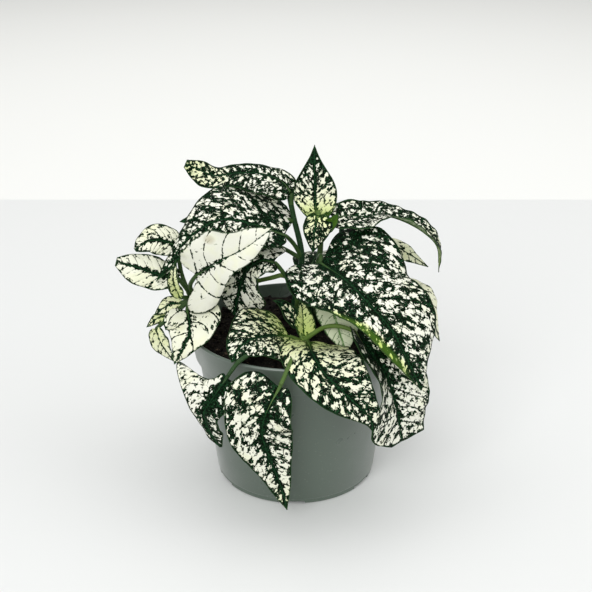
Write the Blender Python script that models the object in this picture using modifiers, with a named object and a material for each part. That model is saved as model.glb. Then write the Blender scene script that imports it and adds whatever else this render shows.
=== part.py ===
"""A polka dot plant in a grey-green nursery pot.

The pot's axis is Z and the pot stands on z = 0. The side that shows most leaves faces -Y.
Lengths in the tables are millimetres; MM turns them into metres.
"""

import math

import bmesh
import bpy
from mathutils import Vector

MM = 0.001

# Driving dimensions of the pot, in millimetres
POT_HEIGHT = 79.5
RIM_RADIUS = 52.5
COLLAR_HEIGHT = 14.7
COLLAR_FOOT_RADIUS = 49.8
STEP = 1.8
BASE_RADIUS = 40.3
WALL = 1.3
FLOOR = 2.2
DRAIN_HOLES = 6
DRAIN_RADIUS = 2.6
NOTCH = (13.0, 9.0, 1.6)
POT_SIDES = 48

# Potting soil
SOIL_LEVEL = 73.5
SOIL_SIDES = 28
GAP = 0.3

# Leaves and stems
BLADE = 0.8
STALK = 1.0
STEM = 1.7


def clear_scene():
    for thing in list(bpy.data.objects):
        bpy.data.objects.remove(thing, do_unlink=True)


def new_collection(name):
    group = bpy.data.collections.new(name)
    bpy.context.scene.collection.children.link(group)
    return group


def new_material(name, colour, roughness, metallic=0.0):
    material = bpy.data.materials.new(name)
    material.use_nodes = True
    shader = material.node_tree.nodes["Principled BSDF"]
    shader.inputs["Base Color"].default_value = (*colour, 1.0)
    shader.inputs["Roughness"].default_value = roughness
    shader.inputs["Metallic"].default_value = metallic
    return material


def settle(thing, group, material):
    """Apply an object's modifiers and put it in its collection with one material."""
    view = bpy.context.evaluated_depsgraph_get()
    mesh = bpy.data.meshes.new_from_object(thing.evaluated_get(view))
    solid = bpy.data.objects.new(thing.name, mesh)
    solid.matrix_world = thing.matrix_world
    name = thing.name
    bpy.data.objects.remove(thing, do_unlink=True)
    solid.name = name
    group.objects.link(solid)
    mesh.materials.clear()
    mesh.materials.append(material)
    mesh.shade_smooth()
    mesh.set_sharp_from_angle(angle=math.radians(40))
    return solid


# Pot and soil


def turned(name, profile, sides):
    """Turn a profile of (radius, height) pairs, in millimetres, about Z."""
    mesh = bpy.data.meshes.new(name)
    points = [(radius * MM, 0.0, height * MM) for radius, height in profile]
    mesh.from_pydata(points, [(i, i + 1) for i in range(len(points) - 1)], [])
    thing = bpy.data.objects.new(name, mesh)
    bpy.context.scene.collection.objects.link(thing)
    screw = thing.modifiers.new("turn", "SCREW")
    screw.steps = sides
    screw.render_steps = sides
    screw.use_merge_vertices = True
    screw.merge_threshold = 0.00001
    screw.use_smooth_shade = True
    return thing


def inner_wall(gap):
    """The pot's inner profile from the rim down to the floor's centre, drawn in by a gap."""
    collar_foot = POT_HEIGHT - COLLAR_HEIGHT
    inset = WALL + gap
    return [
        (RIM_RADIUS - inset, POT_HEIGHT),
        (COLLAR_FOOT_RADIUS - inset, collar_foot + WALL),
        (COLLAR_FOOT_RADIUS - STEP - inset, collar_foot - WALL),
        (BASE_RADIUS - inset, FLOOR + 2.0),
        (BASE_RADIUS - inset - 2.0, FLOOR + gap),
        (0.0, FLOOR + gap),
    ]


def make_pot(group, cutters, material):
    collar_foot = POT_HEIGHT - COLLAR_HEIGHT
    outside = [
        (0.0, 0.0),
        (BASE_RADIUS - 1.2, 0.0),
        (BASE_RADIUS - 0.4, 0.6),
        (BASE_RADIUS, 3.0),
        (COLLAR_FOOT_RADIUS - STEP, collar_foot - 0.6),
        (COLLAR_FOOT_RADIUS, collar_foot),
        (RIM_RADIUS, POT_HEIGHT - 0.5),
        (RIM_RADIUS - 0.5, POT_HEIGHT),
    ]
    profile = list(reversed(inner_wall(0.0))) + list(reversed(outside))
    pot = turned("pot", profile, POT_SIDES)
    floor_ring = BASE_RADIUS * 0.68
    for number in range(DRAIN_HOLES):
        angle = math.tau * (number + 0.5) / DRAIN_HOLES
        bpy.ops.mesh.primitive_cylinder_add(
            vertices=10, radius=DRAIN_RADIUS * MM, depth=4 * FLOOR * MM,
            location=(floor_ring * math.cos(angle) * MM, floor_ring * math.sin(angle) * MM, 0.0))
        cut(pot, bpy.context.object, cutters)
        width, depth, height = NOTCH
        angle = math.tau * (number + 0.45) / DRAIN_HOLES
        reach = BASE_RADIUS
        bpy.ops.mesh.primitive_cube_add(
            size=1.0, location=(reach * math.cos(angle) * MM, reach * math.sin(angle) * MM, 0.0),
            rotation=(0.0, 0.0, angle))
        notch = bpy.context.object
        notch.scale = (depth * MM, width * MM, 2 * height * MM)
        bpy.ops.object.transform_apply(location=False, rotation=False, scale=True)
        cut(pot, notch, cutters)
    return settle(pot, group, material)


def cut(thing, cutter, cutters):
    cutter.hide_render = True
    cutter.display_type = "WIRE"
    for owner in list(cutter.users_collection):
        owner.objects.unlink(cutter)
    cutters.objects.link(cutter)
    hole = thing.modifiers.new("cut", "BOOLEAN")
    hole.operation = "DIFFERENCE"
    hole.object = cutter


def soil_height(x, y):
    """Crumbled surface: a few crossing waves, highest at the middle."""
    ripple = math.sin(0.31 * x + 0.8) * math.cos(0.27 * y) + 0.6 * math.sin(0.55 * y - 0.2 * x)
    return SOIL_LEVEL + 0.7 * ripple + 1.2 * math.cos(math.hypot(x, y) * 0.03)


def make_soil(group, cutters, stems, material):
    lower = [point for point in reversed(inner_wall(GAP)[1:])]
    slope = (RIM_RADIUS - COLLAR_FOOT_RADIUS) / (COLLAR_HEIGHT - WALL)
    edge = COLLAR_FOOT_RADIUS - WALL - GAP + slope * (SOIL_LEVEL - POT_HEIGHT + COLLAR_HEIGHT - WALL)
    rings = [(edge - 0.1, SOIL_LEVEL), (41.0, SOIL_LEVEL), (32.0, SOIL_LEVEL), (22.0, SOIL_LEVEL),
             (11.0, SOIL_LEVEL), (0.0, SOIL_LEVEL)]
    soil = turned("soil", list(reversed(lower + rings)), SOIL_SIDES)
    soil = settle(soil, group, material)
    for vertex in soil.data.vertices:
        x, y, z = (value / MM for value in vertex.co)
        if z > SOIL_LEVEL - 0.5 and math.hypot(x, y) < edge - 1.0:
            vertex.co.z = soil_height(x, y) * MM
    for number, stem in enumerate(stems):
        foot, above = (Vector(point) for point in stem[:2])
        below = foot - (above - foot).normalized() * 2 * GAP
        hole = make_tube(f"hole_{number}", [below] + stem, (STEM + 2 * GAP, STEM), 3 * len(stem), cutters)
        cut(soil, hole, cutters)
    return settle(soil, group, material)


# Leaves


def spline(points, t):
    """A smooth curve through the points; t runs from 0 to 1 by the count of points."""
    last = len(points) - 1
    place = min(max(t, 0.0), 1.0) * last
    i = min(int(place), last - 1)
    s = place - i
    p1 = points[i]
    p2 = points[i + 1]
    p0 = points[i - 1] if i > 0 else p1 * 2 - p2
    p3 = points[i + 2] if i + 2 <= last else p2 * 2 - p1
    return 0.5 * ((2 * p1) + (p2 - p0) * s + (2 * p0 - 5 * p1 + 4 * p2 - p3) * s * s
                  + (3 * p1 - p0 - 3 * p2 + p3) * s * s * s)


def even_curve(points, count):
    """The spline as count + 1 points at even steps of length."""
    fine = [spline(points, k / 80) for k in range(81)]
    run = [0.0]
    for a, b in zip(fine, fine[1:]):
        run.append(run[-1] + (b - a).length)
    even = []
    k = 0
    for step in range(count + 1):
        goal = run[-1] * step / count
        while k < 79 and run[k + 1] < goal:
            k += 1
        share = (goal - run[k]) / max(run[k + 1] - run[k], 1e-9)
        even.append(fine[k].lerp(fine[k + 1], min(max(share, 0.0), 1.0)))
    return even, run[-1]


def steps_of(values, v):
    """The value at v of a list that is spread evenly from foot to tip."""
    if len(values) == 1:
        return values[0]
    place = min(max(v, 0.0), 1.0) * (len(values) - 1)
    i = min(int(place), len(values) - 2)
    s = place - i
    p1, p2 = values[i], values[i + 1]
    p0 = values[i - 1] if i > 0 else 2 * p1 - p2
    p3 = values[i + 2] if i + 2 < len(values) else 2 * p2 - p1
    return 0.5 * ((2 * p1) + (p2 - p0) * s + (2 * p0 - 5 * p1 + 4 * p2 - p3) * s * s
                  + (3 * p1 - p0 - 3 * p2 + p3) * s * s * s)


def blade_point(leaf, ribs, length, v, side, u):
    """A point of the blade: v runs along the rib, side is -1 left or 1 right, u runs to the edge."""
    count = len(ribs) - 1
    half = leaf["left" if side < 0 else "right"]
    width = max(steps_of(half["width"], v), BLADE)
    along = v - half.get("back", 3) / length * u ** 1.6 * (1 - v) ** 3
    place = min(max(along, 0.0), 1.0) * count
    i = min(int(place), count - 1)
    point = ribs[i].lerp(ribs[i + 1], place - i)
    ahead = (ribs[min(i + 2, count)] - ribs[max(i - 1, 0)]).normalized()
    if along < 0.0:
        point = point + ahead * along * length
    face = spline([Vector(way) for way in leaf["face"]], along)
    face = (face - ahead * face.dot(ahead)).normalized()
    across = ahead.cross(face) * side
    lift = steps_of(half.get("lift", [5]), v) * (1 - v ** 4)
    bend = steps_of(half.get("bend", [-30]), v)
    curl = steps_of(half.get("curl", [0]), v)
    wave = leaf.get("wave", 0.12) * math.sin(math.tau * leaf.get("waves", 2.2) * v + side + leaf.get("turn", 0.0))
    steps = 8
    for step in range(steps):
        part = u * (step + 0.5) / steps
        angle = math.radians(lift + bend * part ** 1.5 + curl * part ** 5) + wave * 3 * part * part
        point = point + (across * math.cos(angle) + face * math.sin(angle)) * (width * u / steps)
    return point


def make_blade(leaf, group):
    """A thin blade: a flat grid bent to the leaf's form, then thickened."""
    small = max(leaf["right"]["width"]) < 7
    rows = 6 if small else 7
    columns = 4 if small else 6
    points = [Vector(point) for point in leaf["rib"]]
    ribs, length = even_curve(points, 24)
    mesh = bpy.data.meshes.new(leaf["name"])
    grid = bmesh.new()
    bmesh.ops.create_grid(grid, x_segments=columns, y_segments=rows, size=1.0)
    for vertex in grid.verts:
        across = vertex.co.x
        v = (vertex.co.y + 1) / 2
        side = -1 if across < 0 else 1
        vertex.co = blade_point(leaf, ribs, length, v, side, abs(across)) * MM
    bmesh.ops.triangulate(grid, faces=grid.faces[:], quad_method="FIXED")
    grid.to_mesh(mesh)
    grid.free()
    blade = bpy.data.objects.new(leaf["name"], mesh)
    group.objects.link(blade)
    thick = blade.modifiers.new("thickness", "SOLIDIFY")
    thick.thickness = BLADE * MM
    thick.offset = 0.0
    return blade


def make_tube(name, points, radii, count, group, roundness=1):
    """A tapering tube through the points, as a closed mesh; roundness 0 has four sides, 1 has six."""
    curve = bpy.data.curves.new(name, "CURVE")
    curve.dimensions = "3D"
    curve.bevel_depth = MM
    curve.bevel_resolution = roundness
    curve.use_fill_caps = True
    line = curve.splines.new("POLY")
    path, _ = even_curve([Vector(point) for point in points], count)
    line.points.add(len(path) - 1)
    for k, (point, knot) in enumerate(zip(path, line.points)):
        knot.co = (*(point * MM), 1.0)
        knot.radius = radii[0] + (radii[1] - radii[0]) * k / count
    source = bpy.data.objects.new(name, curve)
    group.objects.link(source)
    view = bpy.context.evaluated_depsgraph_get()
    mesh = bpy.data.meshes.new_from_object(source.evaluated_get(view))
    bpy.data.objects.remove(source, do_unlink=True)
    weld = bmesh.new()
    weld.from_mesh(mesh)
    bmesh.ops.remove_doubles(weld, verts=weld.verts[:], dist=0.000001)
    bmesh.ops.recalc_face_normals(weld, faces=weld.faces[:])
    weld.to_mesh(mesh)
    weld.free()
    tube = bpy.data.objects.new(name, mesh)
    group.objects.link(tube)
    return tube


def make_shoot(shoot, group, material):
    """One leafy stem: its stem, side stems, leaf stalks and blades, joined as one solid."""
    loose = new_collection(shoot["name"] + "_loose")
    stem = make_tube(shoot["name"], shoot["stem"], (STEM, 0.75 * STEM), 2 * len(shoot["stem"]), loose)
    loose.objects.unlink(stem)
    bpy.context.scene.collection.objects.link(stem)
    for leaf in shoot["leaves"]:
        blade = make_blade(leaf, loose)
        ribs = [Vector(point) for point in leaf["rib"]]
        inward = spline(ribs, 0.12)
        stalk = [Vector(point) for point in leaf["stalk"]] + [ribs[0], inward]
        make_tube(leaf["name"] + "_stalk", stalk, (STALK, 0.55 * STALK), len(stalk) + 1, loose, 0)
    joined = stem.modifiers.new("grown together", "BOOLEAN")
    joined.operation = "UNION"
    joined.operand_type = "COLLECTION"
    joined.collection = loose
    joined.solver = "EXACT"
    joined.use_self = True
    solid = settle(stem, group, material)
    for thing in list(loose.objects):
        bpy.data.objects.remove(thing, do_unlink=True)
    bpy.data.collections.remove(loose)
    return solid


# The plant's leafy stems. A leaf has its stalk, the points of its rib from foot to tip, the way its
# upper face looks from foot to tip, and its left and right halves. A half has its width at even steps
# from foot to tip, its lift at the rib, its bend out to the edge and the curl of the edge, in degrees,
# and how far its foot reaches back past the stalk.

OUTLINE = (0.42, 0.9, 1.0, 0.88, 0.65, 0.35, 0.0)


def plain(width, lift=5, bend=-30):
    """Half of a plain heart-shaped blade."""
    return dict(width=[width * share for share in OUTLINE], lift=[lift], bend=[bend], back=0.3 * width)


TALL = dict(
    name="tall_shoot",
    stem=[(5, -2, 60), (6, -1, 85), (11, 0, 110), (12, 1, 126), (10.5, 1, 137)],
    leaves=[
        dict(name="top_leaf", stalk=[(11, 1, 128)], rib=[(10, 1, 132), (9, 6, 150), (9, 12, 166)],
             face=[(-0.1, -1, 0.3), (0, -1, 0.4)],
             left=dict(width=[2, 7.5, 10.5, 9.5, 6, 2.5, 0], lift=[8], bend=[-10], back=1),
             right=dict(width=[4, 9, 10.5, 9.5, 6, 2.5, 0], lift=[8], bend=[-10], back=1)),
        dict(name="leaf_below_top", stalk=[(11, 1, 132)], rib=[(10.5, -3, 136), (9, -7.5, 130), (8, -10, 120)],
             face=[(0, -0.6, 0.8), (0, -0.9, 0.3)], left=plain(8, 0, -20), right=plain(6, 0, -20)),
        dict(name="young_leaf", stalk=[(12, 1, 127)], rib=[(13, -3, 129), (17, -5, 133), (20, -6, 138)],
             face=[(0, -1, 0.4), (0, -1, 0.4)], left=plain(3.5, 20, 0), right=plain(3.5, 20, 0)),
        dict(name="right_arching_leaf", stalk=[(12, 1, 125), (15, 1, 129)],
             rib=[(18, 1, 133), (25, 3, 134), (33, 4, 133), (42, 5, 134), (52, 5, 131), (62, 5, 125), (69, 5, 117),
                  (70, 5, 104)],
             face=[(0, -0.7, 0.8), (0, -0.4, 1), (0, -0.1, 1), (0.4, -0.1, 1), (1, -0.2, 0.3)],
             left=dict(width=[5, 8, 8, 8, 8, 7, 0], lift=[20], bend=[0], back=4),
             right=dict(width=[6, 11, 10, 8, 8, 6, 0], lift=[10, 25, 30], bend=[0], back=5)),
        dict(name="large_right_leaf", stalk=[(11, 0, 113), (12, -6, 117)],
             rib=[(12, -11, 115), (23, -27, 113), (32, -38, 107), (43, -45, 96), (51, -50, 82), (57, -52, 69)],
             face=[(0.2, -0.62, 0.75), (0.45, -0.7, 0.4)],
             left=dict(width=[20, 31, 31, 28, 25, 18, 0], lift=[33, 18, 8, 5, 5, 5], bend=[-22], back=12),
             right=dict(width=[12, 22, 21, 15, 12, 7, 0], lift=[0], bend=[-30, -25, -20, 0, 0],
                        curl=[0, 0, 60, 110, 60], back=16)),
    ])

UPPER_LEFT = dict(
    name="upper_left_shoot",
    stem=[(-3, 9, 60), (0, 9, 90), (3, 5, 112), (-1, 7, 132), (-3, 8, 142)],
    leaves=[
        dict(name="left_arching_leaf", stalk=[(-2, 7, 138)],
             rib=[(-2, 7.5, 143.5), (-7, 10, 149), (-17, 12, 152), (-28, 13, 152), (-38, 12, 151), (-47, 10, 155),
                  (-52, 8, 158)],
             face=[(0, -0.5, 0.9), (0, -0.6, 0.8), (0, -0.7, 0.7), (-0.1, -0.9, 0.4)],
             left=dict(width=[6, 12, 11.5, 9, 7, 7, 2], lift=[5], bend=[-15], back=3),
             right=dict(width=[4, 7, 6, 5, 5, 5, 2], lift=[5], bend=[-25], back=2)),
        dict(name="large_left_leaf", stalk=[(3, 5, 112), (-1, 2, 120)],
             rib=[(-5, -3, 126), (-20, -7, 133), (-36, -10, 136), (-50, -13, 128), (-59, -13, 116), (-66, -12, 106)],
             face=[(0, -0.5, 0.85), (-0.6, -0.6, 0.5)],
             left=dict(width=[5, 11, 12, 8, 4, 3, 0], lift=[0], bend=[-50], back=3),
             right=dict(width=[12, 25, 26, 15, 8, 4, 0], lift=[5], bend=[-25], back=7)),
        dict(name="small_back_left_leaf", stalk=[(-1, 6, 130), (-20, 8, 133), (-40, 9, 131)],
             rib=[(-46, 9, 130), (-51, 8, 130), (-56, 8, 129)],
             face=[(0, -0.4, 1), (0, -0.6, 1)], left=plain(3, 5, 0), right=plain(3, 5, 0)),
        dict(name="back_centre_leaf", stalk=[(2, 7, 99)],
             rib=[(7, 14, 103), (11, 28, 105), (13, 44, 99), (14, 56, 86)],
             face=[(0, 0.2, 1), (0, 0.9, 0.4)], left=plain(12, 10, -35), right=plain(12, 10, -35)),
        dict(name="back_left_leaf", stalk=[(3, 5, 111), (-5, 10, 114)],
             rib=[(-14, 16, 116), (-28, 30, 118), (-42, 42, 108), (-50, 50, 92)],
             face=[(-0.2, 0.2, 1), (-0.6, 0.6, 0.5)], left=plain(16, 10, -35), right=plain(16, 10, -35)),
    ])

LEFT = dict(
    name="left_shoot",
    stem=[(-3, 3, 60), (0, 3.5, 80), (0.5, 3.5, 94), (-5, 0, 104), (-12, 0, 103), (-21, 3, 99.5),
          (-34, 3, 95.5), (-46, -3, 95), (-52, -6, 95)],
    leaves=[
        dict(name="white_leaf", stalk=[(-49, -6, 96), (-50, -12, 104)],
             rib=[(-46, -20, 112.5), (-33, -30, 124), (-22, -33, 131), (-10, -32, 140)],
             face=[(-0.2, -1, 0.25), (0, -1, 0.2)],
             left=dict(width=[10, 14, 15, 15, 10, 6, 0], lift=[22], bend=[-5], back=4),
             right=dict(width=[11, 18, 12.5, 8, 7, 4, 0], lift=[6], bend=[-30], back=24)),
        dict(name="left_leaf_upper", stalk=[(-51, -6, 96), (-55, -4, 108)],
             rib=[(-56, -4, 121), (-63, -5, 124), (-70, -6, 124), (-76, -7, 120)],
             face=[(-0.1, -0.8, 0.6), (-0.6, -0.7, 0.3)],
             left=dict(width=[3, 6, 7, 7, 6, 4, 1], back=2), right=dict(width=[3, 7, 8, 8, 7, 5, 1], back=2)),
        dict(name="left_leaf_lower", stalk=[(-50, -6, 96)],
             rib=[(-56, -8, 106), (-67, -9, 109), (-78, -9, 113), (-85, -9, 115)],
             face=[(0, -0.8, 0.6), (-0.2, -0.9, 0.5)],
             left=dict(width=[3, 6, 8, 8, 8, 6, 2], bend=[-20], back=2),
             right=dict(width=[3, 6, 8, 8, 7, 5, 2], bend=[-20], back=2)),
        dict(name="folded_young_leaf", stalk=[(-51, -6, 95)],
             rib=[(-55, -14, 99), (-57, -20, 110), (-55, -22, 121)],
             face=[(0, -1, 0.2), (0, -1, 0.2)], left=plain(3.5, 30, 0), right=plain(3.5, 30, 0)),
        dict(name="cream_leaf", stalk=[(-51, -6, 95)],
             rib=[(-52, -12, 91), (-50, -22, 88.5), (-50, -28, 85.5), (-53, -31, 79), (-57, -31.5, 72)],
             face=[(0, -0.7, 0.7), (-0.3, -0.9, 0.3)],
             left=dict(width=[6, 14, 15.5, 12, 6.5, 3, 0], bend=[-25, -15, -8, -8, -15], back=7),
             right=dict(width=[6, 12, 12, 10.5, 8, 4.5, 0], bend=[-25, -12, -6, -6, -12], back=6)),
        dict(name="young_leaf_left_1", stalk=[(-50, -6, 95)], rib=[(-56, -3, 91), (-62, -3, 90), (-69, -4, 85)],
             face=[(0, -0.6, 0.8), (-0.3, -0.8, 0.4)], left=plain(4.5, 5, -20), right=plain(4.5, 5, -20)),
        dict(name="young_leaf_left_2", stalk=[(-50, -6, 95), (-58, -4, 87)],
             rib=[(-63, -4, 85), (-68, -4, 83), (-73, -5, 79)],
             face=[(0, -0.6, 0.8), (-0.3, -0.8, 0.4)], left=plain(3, 5, -20), right=plain(3, 5, -20)),
        dict(name="young_leaf_left_3", stalk=[(-51, -6, 94), (-62, -5, 84)],
             rib=[(-68, -7, 79), (-66, -8, 72), (-60, -10, 63)],
             face=[(-0.3, -0.8, 0.4), (-0.3, -0.9, 0.2)], left=plain(5, 15, -10), right=plain(5, 15, -10)),
        dict(name="back_low_left_leaf", stalk=[(-33, 3, 96), (-34, 5, 99)],
             rib=[(-35, 9, 101), (-38, 22, 100), (-40, 36, 91), (-38, 48, 76)],
             face=[(-0.2, 0.2, 1), (0, 0.9, 0.4)], left=plain(12, 10, -35), right=plain(12, 10, -35)),
    ])

MIDDLE = dict(
    name="middle_shoot",
    stem=[(11, 9, 60), (9, 7, 80), (3, 1, 92), (-3, -7, 104)],
    leaves=[
        dict(name="shaded_hanging_leaf", stalk=[(-3, -7, 104), (-7, -9, 111)],
             rib=[(-10, -10, 115), (-16, -11, 116), (-22, -12, 113), (-26, -10, 104.5), (-28, -8, 95), (-30, -6, 86)],
             face=[(-0.1, -0.4, 0.9), (-0.1, -0.9, 0.3)],
             left=dict(width=[5, 8, 8, 10, 14, 12, 0], lift=[5], bend=[-20], back=3),
             right=dict(width=[11, 11, 10, 11, 12, 9, 0], lift=[5], bend=[-30], back=10)),
        dict(name="back_low_centre_leaf", stalk=[(9, 5, 82)],
             rib=[(10, 16, 90), (11, 36, 92), (12, 52, 84), (12, 62, 66)],
             face=[(0, 0.2, 1), (0, 0.9, 0.4)], left=plain(15, 10, -35), right=plain(15, 10, -35)),
    ])

FRONT = dict(
    name="front_shoot",
    stem=[(3, -16, 60), (4, -19, 72), (4, -20, 80)],
    leaves=[
        dict(name="front_left_leaf", stalk=[(4, -20, 78)],
             rib=[(-3, -22, 82), (-12, -30, 86), (-20, -37, 87.5), (-26, -42, 85), (-29, -46, 80)],
             face=[(0, -0.3, 0.95), (-0.5, -0.6, 0.7)], wave=0.04,
             left=dict(width=[12, 20, 20, 17, 12, 7, 0], lift=[0], bend=[-22], back=2),
             right=dict(width=[12, 20, 21, 18, 13, 7, 0], lift=[12], bend=[-10], back=3)),
        dict(name="front_right_leaf", stalk=[(4, -20, 78)],
             rib=[(6, -26, 81), (8, -46, 84), (13, -57, 80), (23, -63, 72), (33, -63, 61), (35, -60, 52)],
             face=[(0.1, -0.3, 0.95), (0.1, -0.9, 0.4)],
             left=dict(width=[8, 16, 20, 19, 14, 8, 0], bend=[-15], back=2),
             right=dict(width=[7, 14, 15, 13.5, 10, 5, 0], bend=[-15], back=2)),
        dict(name="right_hanging_leaf", stalk=[(4, -20, 79), (13, -23, 87), (21, -26, 89)],
             rib=[(28, -28, 87), (32, -38, 84.5), (41, -44, 73), (47, -46, 55), (50, -43, 37)],
             face=[(0.3, -0.4, 0.8), (0.3, -0.75, 0.4)],
             left=dict(width=[12, 19, 21, 20, 18, 17, 13], lift=[12], bend=[-10], back=5),
             right=dict(width=[5, 8, 10, 13, 17, 17, 6], lift=[35, 35, 25, 10], bend=[0], back=3)),
        dict(name="lower_left_leaf", stalk=[(3, -20, 77), (-12, -36, 83), (-24, -47, 82.5)],
             rib=[(-31, -53, 76), (-36.5, -55, 68), (-41.5, -55, 59), (-39.5, -54, 49), (-35, -53, 40)],
             face=[(-0.3, -0.7, 0.6), (-0.6, -0.7, 0.1)],
             left=dict(width=[8, 9, 9, 8, 7, 6, 1.5], bend=[-20], back=2),
             right=dict(width=[3, 7, 27, 9, 4, 3, 0], bend=[-15], back=2)),
        dict(name="front_hanging_leaf", stalk=[(4, -20, 77), (0, -40, 82.5), (-3, -54, 82)],
             rib=[(-7, -62, 76), (-13, -66, 65), (-15, -64, 53), (-12, -62, 40), (-7, -60, 24), (-4, -58, 9)],
             face=[(-0.05, -0.8, 0.5), (0, -1, 0.1)], wave=0.05,
             left=dict(width=[5, 11, 14, 12.5, 8, 4, 0], bend=[-20], back=3),
             right=dict(width=[14, 20, 17, 12, 8, 5, 0], bend=[-15], back=4)),
        dict(name="striped_young_leaf", stalk=[(4, -19, 77)], rib=[(4, -17, 80), (3.5, -14, 88), (2.5, -12, 97)],
             face=[(0.2, -1, 0.4), (0.2, -1, 0.4)], left=plain(4.5, 20, 0), right=plain(6, 20, 0)),
        dict(name="shaded_young_leaf", stalk=[(4, -19, 77)],
             rib=[(1, -15, 84), (-3, -12, 90), (-7, -10, 94), (-11, -9, 95)],
             face=[(0.3, -0.8, 0.6), (0.3, -0.8, 0.6)], left=plain(4, 10, 0), right=plain(4, 10, 0)),
    ])

RIGHT = dict(
    name="right_shoot",
    stem=[(15, 3, 60), (18, 3, 80), (22, 3, 98), (26, 5, 112)],
    leaves=[
        dict(name="pale_underside_leaf", stalk=[(21, 3, 95)],
             rib=[(18, -5, 97), (19, -17, 89), (24, -29, 76)],
             face=[(0, -0.7, 0.7), (0, -0.6, 0.7)], left=plain(15, 5, -10), right=plain(9, 5, -10)),
        dict(name="right_edge_leaf", stalk=[(22, 3, 97)],
             rib=[(30, 3, 101), (48, 1, 101), (64, -2, 92), (71, -4, 71)],
             face=[(0.1, -0.2, 1), (0.8, -0.4, 0.5)],
             left=dict(width=[5, 11, 12, 11, 10, 7, 0], bend=[-30], back=4),
             right=dict(width=[5, 11, 12, 11, 10, 7, 0], bend=[-30], back=4)),
        dict(name="small_right_leaf", stalk=[(25, 5, 110)],
             rib=[(34, 8, 116), (46, 9, 117), (56, 8, 112), (65, 7, 106)],
             face=[(0, -0.3, 1), (0.3, -0.6, 0.8)], left=plain(7), right=plain(7)),
        dict(name="back_right_leaf", stalk=[(20, 3, 88)],
             rib=[(26, 12, 93), (40, 26, 96), (52, 37, 85), (58, 44, 68)],
             face=[(0.2, 0.2, 1), (0.6, 0.6, 0.5)], left=plain(16, 10, -35), right=plain(16, 10, -35)),
        dict(name="back_right_high_leaf", stalk=[(26, 5, 111)],
             rib=[(30, 18, 114), (34, 28, 116), (39, 40, 109), (43, 50, 96)],
             face=[(0.2, 0.2, 1), (0.6, 0.6, 0.5)], left=plain(12, 10, -35), right=plain(12, 10, -35)),
        dict(name="right_side_leaf", stalk=[(21, 3, 92)],
             rib=[(30, 10, 97), (42, 18, 98), (54, 24, 90), (60, 28, 76)],
             face=[(0.2, 0, 1), (0.8, 0.3, 0.5)], left=plain(13, 10, -35), right=plain(13, 10, -35)),
    ])

SHOOTS = [TALL, UPPER_LEFT, LEFT, MIDDLE, FRONT, RIGHT]


def build():
    clear_scene()
    plant = new_collection("potted_plant")
    cutters = new_collection("cutters")
    plastic = new_material("grey_green_plastic", (0.17, 0.22, 0.18), 0.5)
    peat = new_material("potting_soil", (0.025, 0.02, 0.015), 0.95)
    leafage = new_material("splashed_leaf", (0.25, 0.33, 0.22), 0.45)
    make_pot(plant, cutters, plastic)
    make_soil(plant, cutters, [shoot["stem"] for shoot in SHOOTS], peat)
    for shoot in SHOOTS:
        make_shoot(shoot, plant, leafage)


build()
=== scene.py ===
# A polka dot plant in a grey-green nursery pot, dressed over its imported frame.
# The pot's axis is Z, it stands on z = 0, and the side with the most leaves faces -Y.
# Lengths in the dictionaries are millimetres, and mm turns them into metres.
import math
import random

import bmesh
import bpy
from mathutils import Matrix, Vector, noise


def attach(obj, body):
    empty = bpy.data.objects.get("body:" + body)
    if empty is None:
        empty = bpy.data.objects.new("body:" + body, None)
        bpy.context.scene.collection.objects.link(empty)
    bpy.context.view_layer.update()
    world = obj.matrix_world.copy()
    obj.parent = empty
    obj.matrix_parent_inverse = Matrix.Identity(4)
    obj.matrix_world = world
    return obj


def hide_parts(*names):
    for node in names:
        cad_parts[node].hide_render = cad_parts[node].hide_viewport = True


mm = 0.001
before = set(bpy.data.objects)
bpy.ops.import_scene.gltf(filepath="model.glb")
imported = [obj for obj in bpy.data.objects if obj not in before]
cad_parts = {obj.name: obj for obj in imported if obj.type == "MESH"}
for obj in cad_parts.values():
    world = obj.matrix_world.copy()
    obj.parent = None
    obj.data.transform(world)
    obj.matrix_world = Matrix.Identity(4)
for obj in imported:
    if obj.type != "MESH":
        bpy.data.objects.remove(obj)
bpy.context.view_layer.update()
scene = bpy.context.scene
print("frame loaded:", ", ".join(sorted(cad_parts)))


# Helpers for materials and pieces

def newMaterial(name):
    material = bpy.data.materials.new(name)
    material.use_nodes = True
    tree = material.node_tree
    return material, tree, tree.nodes["Principled BSDF"]


def feed(tree, socket, value):  # a link from a socket, or a plain value
    if isinstance(value, bpy.types.NodeSocket):
        tree.links.new(value, socket)
    else:
        socket.default_value = value


def calc(tree, operation, *values):
    node = tree.nodes.new("ShaderNodeMath")
    node.operation = operation
    for socket, value in zip(node.inputs, values):
        feed(tree, socket, value)
    return node.outputs[0]


def blend(tree, share, first, second):
    node = tree.nodes.new("ShaderNodeMix")
    node.data_type = "RGBA"
    feed(tree, node.inputs["Factor"], share)
    feed(tree, node.inputs["A"], first)
    feed(tree, node.inputs["B"], second)
    return node.outputs["Result"]


def ramp(tree, value, low, high, start=0.0, end=1.0):  # soft step between low and high
    node = tree.nodes.new("ShaderNodeMapRange")
    node.interpolation_type = "SMOOTHSTEP"
    feed(tree, node.inputs["Value"], value)
    feed(tree, node.inputs["From Min"], low)
    feed(tree, node.inputs["From Max"], high)
    feed(tree, node.inputs["To Min"], start)
    feed(tree, node.inputs["To Max"], end)
    return node.outputs["Result"]


def scaled(tree, vector, factors):
    node = tree.nodes.new("ShaderNodeVectorMath")
    node.operation = "MULTIPLY"
    feed(tree, node.inputs[0], vector)
    feed(tree, node.inputs[1], factors)
    return node.outputs[0]


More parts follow.
